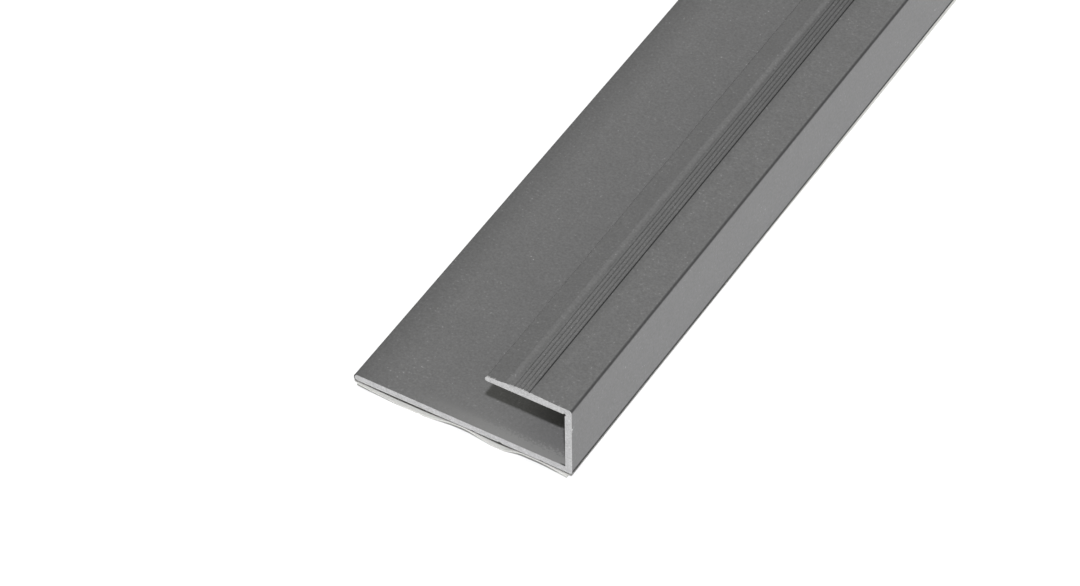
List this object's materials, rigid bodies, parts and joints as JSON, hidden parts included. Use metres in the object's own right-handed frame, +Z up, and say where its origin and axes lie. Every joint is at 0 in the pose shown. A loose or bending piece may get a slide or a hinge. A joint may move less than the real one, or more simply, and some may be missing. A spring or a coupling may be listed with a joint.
{
  "type": "aluminium floor edge profile",
  "caption": "Aluminium extrusion for the open edge of a floor: a wide base leg with an adhesive strip, an upright web and a short ribbed flange that covers the edge of the boards.",
  "frame": {"origin": "the middle of the underside of the adhesive strip, on the floor: mid-length of the stock and mid-width of the base leg", "axes": "+Y runs along the length, away from the sawn end that the picture shows; +X points out of the web's outer face; +Z is up, from the base leg to the flange"},
  "size_m": [0.0324, 0.9001, 0.0128],
  "materials": {
    "aluminium": "matt grey anodised, with bare saw-cut ends",
    "liner": "matt off-white tape with a release liner"
  },
  "bodies": {
    "root": {"profile": "aluminium", "adhesive_strip": "liner"}
  },
  "joints": []
}
